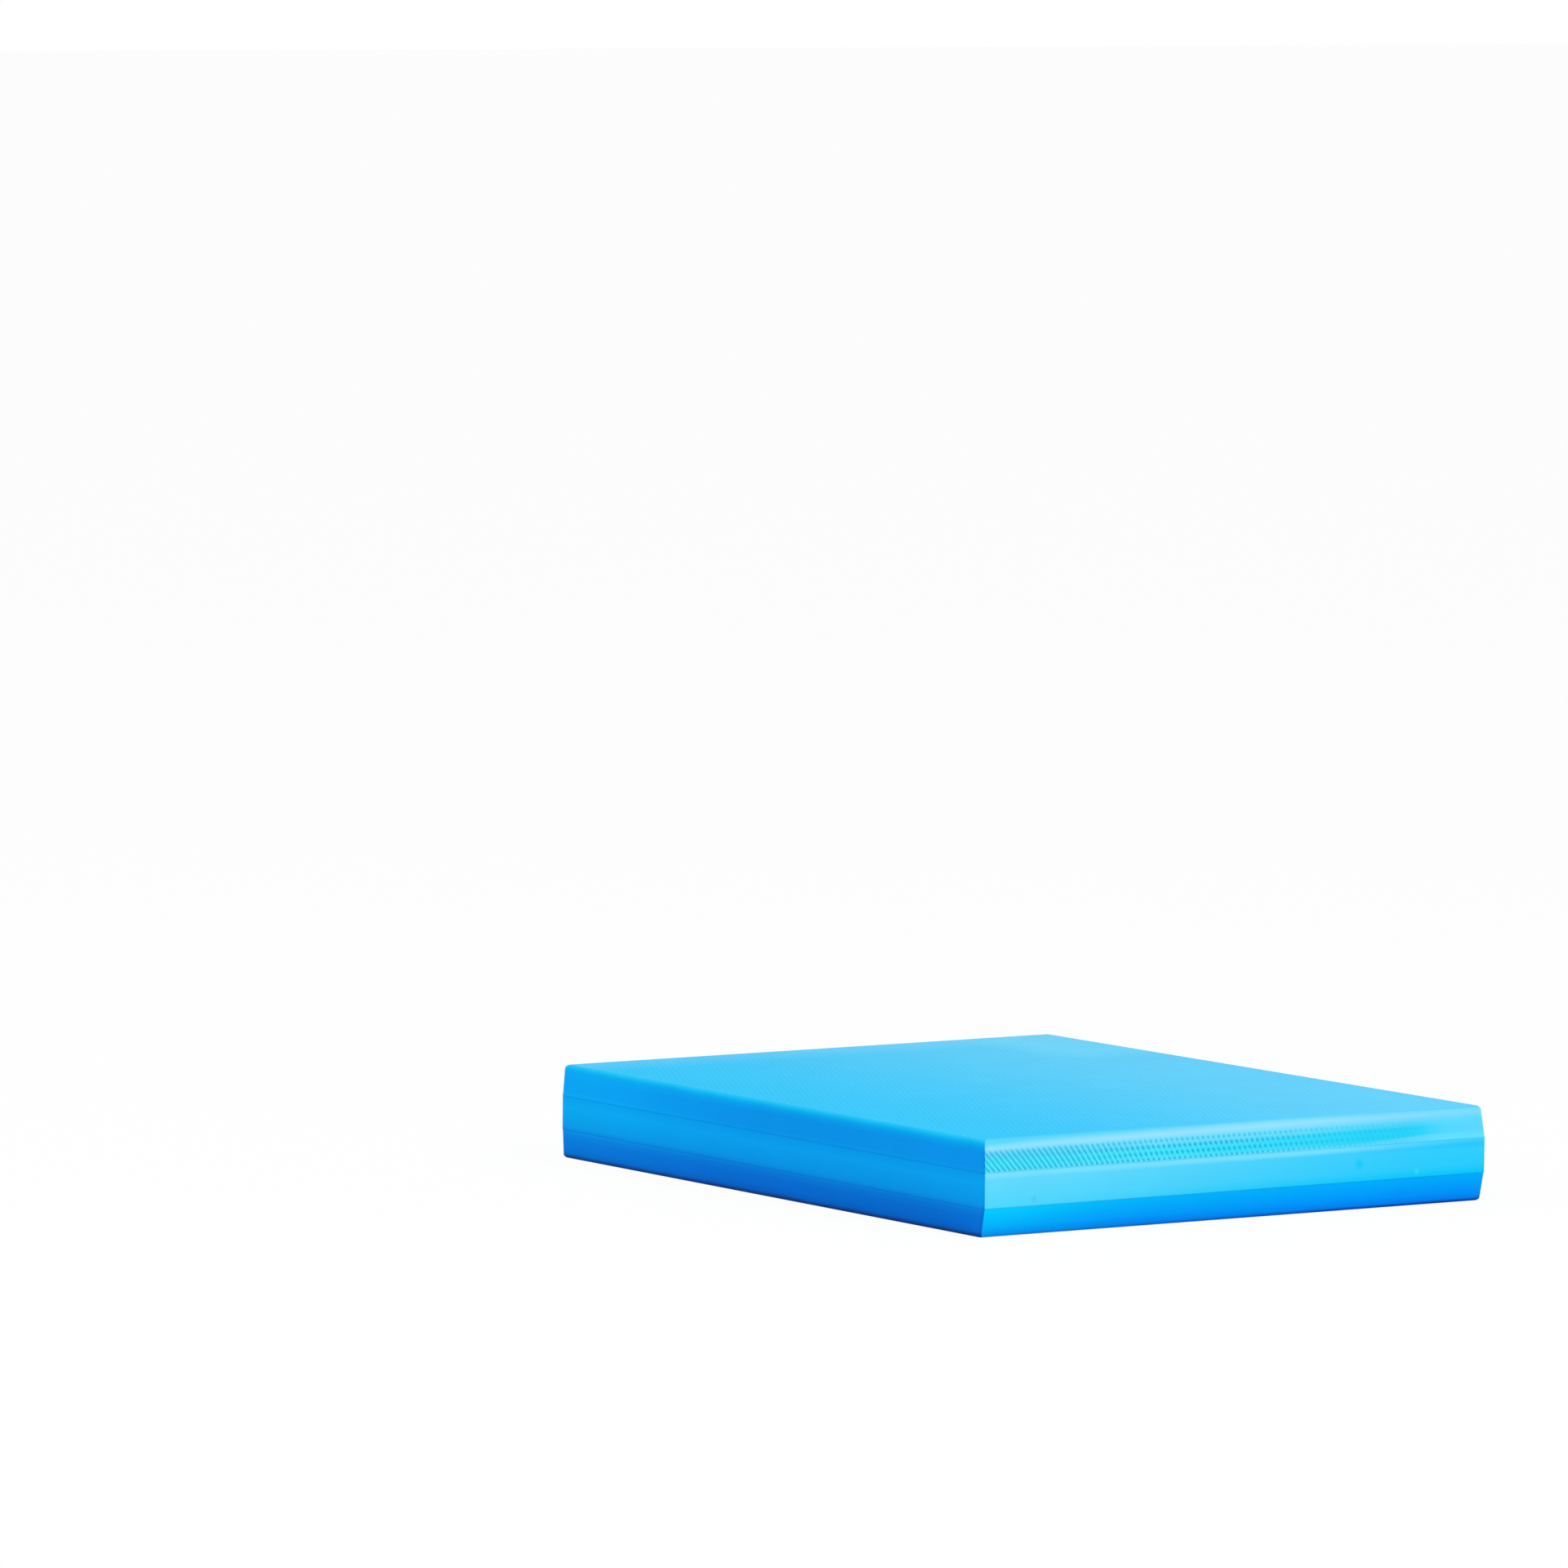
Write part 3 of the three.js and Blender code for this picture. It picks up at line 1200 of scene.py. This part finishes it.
@dataclass
class CoveringSkin(SkinPiece):
    """The skin over the top or under the bottom, wrapped round the pad's edge to its seam."""

    embossing: Embossing = field(default_factory=Embossing)
    columns_per_pitch: float = 5
    columns_per_row: float = 3.6
    edge_steps: int = 6

    def outer_levels(self) -> list[float]:
        """The levels of the rings from the flat face to the seam."""
        raise NotImplementedError

    def seam_level(self) -> float:
        """The level at which the skin ends."""
        raise NotImplementedError

    def build(self) -> bpy.types.Object:
        """Build the skin: its face, its wrapped edge, its lip, its inner wall and its lining.

        Returns:
            The skin as one closed shell.
        """
        form, lattice = self.form, self.embossing
        levels = self.outer_levels()
        face = form.ring(levels[0])
        columns = (
            round((face.high_x - face.low_x) / lattice.row_spacing * self.columns_per_row),
            round(2 * face.half_y / lattice.pitch * self.columns_per_pitch),
        )
        mesh = bmesh.new()
        bmesh.ops.create_grid(mesh, x_segments=columns[0], y_segments=columns[1], size=HALF_SQUARE)
        form.lay_out(mesh, face, columns)
        downward = 1 if levels[0] > levels[-1] else -1
        inner_seam = form.ring(self.seam_level(), self.wall)
        inner_face = form.ring(levels[0] - downward * self.wall, self.wall)
        rings = [form.ring(level) for level in levels]
        rings += self.lip(self.seam_level(), -downward) + [inner_seam, inner_face]
        rim = grow_rings(mesh, boundary(mesh), rings)
        bmesh.ops.edgeloop_fill(mesh, edges=rim)
        piece = finished(mesh, self.name + "_dressed")
        write_points(piece.data, form.round_corners(read_points(piece.data)))
        self.mark_sides(piece.data)
        self.emboss(piece.data, levels[0])
        return piece

    def emboss(self, data: bpy.types.Mesh, face_level: float) -> None:
        """Press the lattice into the outer surface, and store where the pits are, for the painted shade in
        them.

        Args:
            data: the skin's mesh.
            face_level: the level of its flat face.
        """
        points, normals = read_points(data), read_normals(data)
        share = self.pit_shares(points, face_level)
        flat = (np.abs(points[:, 2] - face_level) < SAME_LEVEL).astype(float)
        lattice = self.embossing
        depth = share * lattice.depth * (1 - flat * (1 - lattice.face_depth_share))
        write_points(data, points - normals * depth[:, None])
        store(data, Mark.FLAT, flat)
        store(data, Mark.PIT_SHADE, share * (1 - flat * (1 - lattice.face_shade_share)))

    def pit_shares(self, points: np.ndarray, face_level: float) -> np.ndarray:
        """How deep the lattice is at each point.

        Args:
            points: one row of x, y, z for each point of the skin.
            face_level: the level of its flat face.

        Returns:
            Shares of the full depth, from 0 to 1.
        """
        lattice = self.embossing
        low_x, high_x, half_y = self.form.insets(points[:, 2])
        to_front, to_back = high_x - points[:, 0], points[:, 0] - low_x
        to_side = half_y - np.abs(points[:, 1])
        down = np.abs(face_level - points[:, 2])
        on_face = down < SAME_LEVEL
        edge = self.form.ring(face_level)
        across = np.where(on_face, edge.high_x - points[:, 0], -down) - lattice.first_row
        inner = np.minimum(np.minimum(to_front, to_back), to_side)
        margin = smooth_rise(lattice.edge_margin - lattice.fade, lattice.edge_margin, inner)
        slope = self.slope_mask(points, down, np.minimum(to_front, to_back), to_side)
        from_corner = (points[:, 1] + half_y) / (2 * half_y)
        from_corner = np.where(to_front < to_back, from_corner, 1 - from_corner)
        on_end = lattice.end_pits(points[:, 1], across, from_corner)
        even = lattice.pits(points[:, 1], across, lattice.slant, 1.0)
        return np.where(on_face, margin * even, slope * on_end)

    def slope_mask(
        self, points: np.ndarray, down: np.ndarray, to_end: np.ndarray, to_side: np.ndarray
    ) -> np.ndarray:
        """Where the lattice runs on over the slopes: nowhere, unless a skin says so."""
        return np.zeros(len(points))


@dataclass
class TopSkin(CoveringSkin):
    """The embossed skin over the top."""

    slope_step: float = 0.8 * MM
    shoulder_steps: int = 6

    def seam_level(self) -> float:
        """The level at which the skin ends, just over the upper seam."""
        return self.form.sizes.upper_seam + self.clearance / 2

    def outer_levels(self) -> list[float]:
        """The levels of the rings on the outside.

        Returns:
            Heights above the floor, from the flat top down to the lip.
        """
        sizes, side = self.form.sizes, self.form.front_end
        centre = sizes.thickness - side.top_radius
        turn = [QUARTER_TURN * (1 - step / self.edge_steps) for step in range(self.edge_steps)]
        edge = [centre + side.top_radius * math.sin(angle) for angle in turn]
        shoulder = sizes.upper_seam + side.shoulder_height
        slope_count = round((centre - shoulder) / self.slope_step)
        slope = list(np.linspace(centre, shoulder, slope_count, endpoint=False))
        lip_start = self.seam_level() + self.lip_radius
        return edge + slope + list(np.linspace(shoulder, lip_start, self.shoulder_steps, endpoint=False))

    def slope_mask(
        self, points: np.ndarray, down: np.ndarray, to_end: np.ndarray, to_side: np.ndarray
    ) -> np.ndarray:
        """Where the lattice runs on down the ends: from under the plain rim to just over the seam.

        Args:
            points: one row of x, y, z for each point of the skin.
            down: how far each lies under the flat top.
            to_end: how far each lies inside the nearer end.
            to_side: how far each lies inside the nearer long side.

        Returns:
            The lattice's strength at each point, from 0 to 1.
        """
        lattice, seam = self.embossing, self.form.sizes.upper_seam
        under_edge = smooth_rise(lattice.slope_margin, lattice.slope_margin + lattice.slope_fade, down)
        over_seam = smooth_rise(0, lattice.fade / 2, points[:, 2] - seam - lattice.seam_margin)
        from_side = smooth_rise(0, lattice.fade, to_side)
        on_outside = to_end < self.wall / 2
        return np.where(on_outside, under_edge * over_seam * from_side, 0.0)


@dataclass
class BottomSkin(CoveringSkin):
    """The grip skin under the pad."""

    columns_per_pitch: float = 4
    columns_per_row: float = 3.2
    slope_steps: int = 12

    def seam_level(self) -> float:
        """The level at which the skin ends, just under the lower seam."""
        return self.form.sizes.lower_seam - self.clearance / 2

    def outer_levels(self) -> list[float]:
        """The levels of the rings on the outside.

        Returns:
            Heights above the floor, from the flat underside up to the lip.
        """
        radius = self.form.front_end.bottom_radius
        turn = [QUARTER_TURN * step / self.edge_steps for step in range(self.edge_steps)]
        edge = [radius * (1 - math.cos(angle)) for angle in turn]
        lip_start = self.seam_level() - self.lip_radius
        return edge + list(np.linspace(radius, lip_start, self.slope_steps, endpoint=False))


@dataclass
class EdgeBand(SkinPiece):
    """The smooth band round the core, between the two seams."""

    column: float = 5 * MM
    wall_steps: int = 10

    def build(self) -> bpy.types.Object:
        """Build the band.

        Returns:
            The band as one closed ring.
        """
        form, sizes = self.form, self.form.sizes
        head = sizes.upper_seam - self.clearance / 2
        foot = sizes.lower_seam + self.clearance / 2
        outside = np.linspace(head - self.lip_radius, foot + self.lip_radius, self.wall_steps)
        rings = self.lip(head, 1)[::-1] + [form.ring(level) for level in outside[1:-1]]
        rings += self.lip(foot, -1) + [form.ring(foot, self.wall)]
        rings.append(form.ring(head, self.wall))
        columns = round(sizes.length / self.column)
        mesh = bmesh.new()
        bmesh.ops.create_grid(mesh, x_segments=1, y_segments=1, size=HALF_SQUARE)
        bmesh.ops.delete(mesh, geom=mesh.faces[:], context="FACES_ONLY")
        bmesh.ops.subdivide_edges(mesh, edges=mesh.edges[:], cuts=columns - 1)
        form.lay_out(mesh, rings[0], (columns, columns))
        first = mesh.edges[:]
        last = grow_rings(mesh, first, rings)
        bmesh.ops.bridge_loops(mesh, edges=first + last)
        piece = finished(mesh, self.name + "_dressed")
        write_points(piece.data, form.round_corners(read_points(piece.data)))
        self.mark_sides(piece.data)
        for mark in (Mark.PIT_SHADE, Mark.FLAT):
            store(piece.data, mark, np.zeros(len(piece.data.vertices)))
        return piece


@dataclass
class FoamLayer(PadPiece):
    """One foam layer: a slab with softened edges that fills its space in the stack."""

    inset: float
    rings: int = 8
    sharp_angle: float = math.radians(60)
    edge_radius: float = 0.8 * MM
    edge_segments: int = 3

    def build(self) -> bpy.types.Object:
        """Build the slab between its levels in the frame, its sides following the pad's form.

        Returns:
            The slab.
        """
        low, high = (corner[2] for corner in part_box(self.name))
        rings = [self.form.ring(level, self.inset) for level in np.linspace(low, high, self.rings)]
        place = rings[0].matrix()
        mesh = bmesh.new()
        bmesh.ops.create_grid(mesh, x_segments=1, y_segments=1, size=HALF_SQUARE, matrix=place)
        rim = grow_rings(mesh, boundary(mesh), rings)
        bmesh.ops.edgeloop_fill(mesh, edges=rim)
        bmesh.ops.recalc_face_normals(mesh, faces=mesh.faces)
        bmesh.ops.bevel(
            mesh,
            geom=[edge for edge in mesh.edges if edge.calc_face_angle() > self.sharp_angle],
            affect="EDGES",
            offset=self.edge_radius,
            segments=self.edge_segments,
            profile=0.5,
            material=-1,
        )
        return finished(mesh, self.name + "_dressed")


@dataclass
class BalancePad:
    """The whole pad: its skins and edge band, its foam layers and its bond films."""

    form: PadForm
    skin_wall: float = 1.2 * MM
    band_wall: float = 1 * MM
    outer_foam_inset: float = 1.5 * MM
    core_foam_inset: float = 1.3 * MM

    def skins(self) -> tuple[SkinPiece, ...]:
        """The outside of the pad, from the top down."""
        return (
            TopSkin(self.form, "top_skin", "embossed_skin", self.skin_wall),
            EdgeBand(self.form, "edge_band", "edge_skin", self.band_wall),
            BottomSkin(self.form, "bottom_skin", "embossed_skin", self.skin_wall),
        )

    def foam_layers(self) -> tuple[FoamLayer, ...]:
        """The foam inside, from the top down."""
        return (
            FoamLayer(self.form, "top_foam_layer", "foam", self.outer_foam_inset),
            FoamLayer(self.form, "core_foam_layer", "foam", self.core_foam_inset),
            FoamLayer(self.form, "bottom_foam_layer", "foam", self.outer_foam_inset),
        )

    def dress_films(self, finish: bpy.types.Material) -> None:
        """Give the two bond films, which keep their solids, their finish.

        Args:
            finish: their material.
        """
        for name in ("upper_bond_film", "lower_bond_film"):
            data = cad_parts[name].data
            data.materials.clear()
            data.materials.append(finish)
            log.info("%s: %d faces", name, len(data.polygons))

    def build(self) -> None:
        """Build and dress every piece of the pad."""
        skin = SkinFinish().material(self.form.sizes)
        foam = FoamFinish().material()
        film = FilmFinish().material()
        for piece in self.skins():
            piece.dress(piece.build(), skin)
        for layer in self.foam_layers():
            layer.dress(layer.build(), foam)
        self.dress_films(film)


# Studio


@dataclass(frozen=True)
class Viewpoint:
    """Where the photograph was taken from, in metres and degrees, the lens and the sensor in millimetres."""

    azimuth: float = 56.383
    elevation: float = 4.927
    roll: float = -0.52
    distance: float = 7.502
    right_of_pad: float = -0.15734
    above_pad: float = 0.23122
    aim_height: float = 0.03
    lens: float = 259.2
    sensor: float = 36
    far_limit: float = 100

    def place_camera(self) -> None:
        """Add the camera and look through it."""
        azimuth, elevation, roll = (math.radians(a) for a in (self.azimuth, self.elevation, self.roll))
        back = Vector((
            math.sin(azimuth) * math.cos(elevation),
            -math.cos(azimuth) * math.cos(elevation),
            math.sin(elevation),
        ))
        right = Vector((math.cos(azimuth), math.sin(azimuth), 0))
        up = back.cross(right)
        place = Vector((0, 0, self.aim_height)) + back * self.distance
        place += right * self.right_of_pad + up * self.above_pad
        turned_right = right * math.cos(roll) - up * math.sin(roll)
        turned_up = right * math.sin(roll) + up * math.cos(roll)
        axes = Matrix((turned_right, turned_up, back)).transposed().to_4x4()
        data = bpy.data.cameras.new("camera")
        data.lens = self.lens
        data.sensor_width = self.sensor
        data.clip_end = self.far_limit
        camera = bpy.data.objects.new("camera", data)
        camera.matrix_world = Matrix.Translation(place) @ axes
        bpy.context.scene.collection.objects.link(camera)
        bpy.context.scene.camera = camera


@dataclass(frozen=True)
class SoftBox:
    """A square studio lamp that looks at the pad. Lengths in metres, power in watts."""

    name: str
    place: tuple[float, float, float]
    width: float
    power: float
    colour: Colour = WHITE

    def switch_on(self) -> None:
        """Add the lamp."""
        data = bpy.data.lights.new(self.name, "AREA")
        data.size = self.width
        data.energy = self.power
        data.color = self.colour
        lamp = bpy.data.objects.new(self.name, data)
        lamp.location = self.place
        lamp.rotation_euler = (-Vector(self.place)).to_track_quat("-Z", "Y").to_euler()
        bpy.context.scene.collection.objects.link(lamp)


@dataclass(frozen=True)
class Studio:
    """A white room with a plain pale floor and soft lamps."""

    floor_size: float = 60
    floor_colour: Colour = (0.93, 0.93, 0.93)
    floor_glow_share: float = 0.95
    ambient: float = 0.55
    lamps: tuple[SoftBox, ...] = (
        SoftBox("key", place=(3.2, 1.2, 2.6), width=2.0, power=88),
        SoftBox("fill", place=(-1.5, -3.5, 2.0), width=3.0, power=68, colour=(0.9, 0.95, 1)),
    )

    def build(self) -> None:
        """Add the surroundings, the floor and the lamps."""
        bpy.context.scene.view_settings.view_transform = "Standard"
        self._surroundings()
        self._floor()
        for lamp in self.lamps:
            lamp.switch_on()

    def _seen_directly(self, tree: ShaderTree) -> Amount:
        """Tell the rays that see the room from those that light the pad.

        Args:
            tree: the tree of the room's material or world.

        Returns:
            1 on rays that come from the camera, a mirror or a clear surface, and 0 on others.
        """
        path = tree.node("ShaderNodeLightPath")
        names = ("Is Camera Ray", "Is Glossy Ray", "Is Transmission Ray")
        camera, glossy, clear = (Amount(tree, path.outputs[name]) for name in names)
        return tree.maths(Maths.MINIMUM, camera + glossy + clear, 1.0)

    def _surroundings(self) -> None:
        """White all round, which lights the pad at its own strength."""
        world = bpy.data.worlds.new("white_room")
        world.use_nodes = True
        bpy.context.scene.world = world
        tree = ShaderTree(world.node_tree)
        seen = self._seen_directly(tree)
        strength = seen * (1 - self.ambient) + self.ambient
        tree.fill(world.node_tree.nodes["Background"], {"Strength": strength, "Color": WHITE})

    def _floor(self) -> None:
        """A wide plain floor that is nearly white and keeps the pad's soft shadow."""
        mesh = bmesh.new()
        bmesh.ops.create_grid(mesh, x_segments=1, y_segments=1, size=self.floor_size / 2)
        floor = finished(mesh, "floor")
        material, tree, shader = new_material("pale_floor")
        tree.fill(shader, {"Base Color": self.floor_colour, "Roughness": 1.0})
        glow = tree.node("ShaderNodeEmission", inputs={"Color": WHITE, "Strength": 1.0})
        share = self._seen_directly(tree) * self.floor_glow_share
        parts = {0: share, 1: shader.outputs[0], 2: glow.outputs[0]}
        blend = tree.node("ShaderNodeMixShader", inputs=parts)
        tree.fill(tree.tree.nodes["Material Output"], {"Surface": blend.outputs[0]})
        floor.data.materials.append(material)


def main() -> None:
    """Build the studio and the pad."""
    logging.basicConfig(level=logging.INFO, format="%(name)s: %(message)s")
    Studio().build()
    Viewpoint().place_camera()
    BalancePad(PadForm(PadSizes.from_frame())).build()


if __name__ == "__main__":
    main()
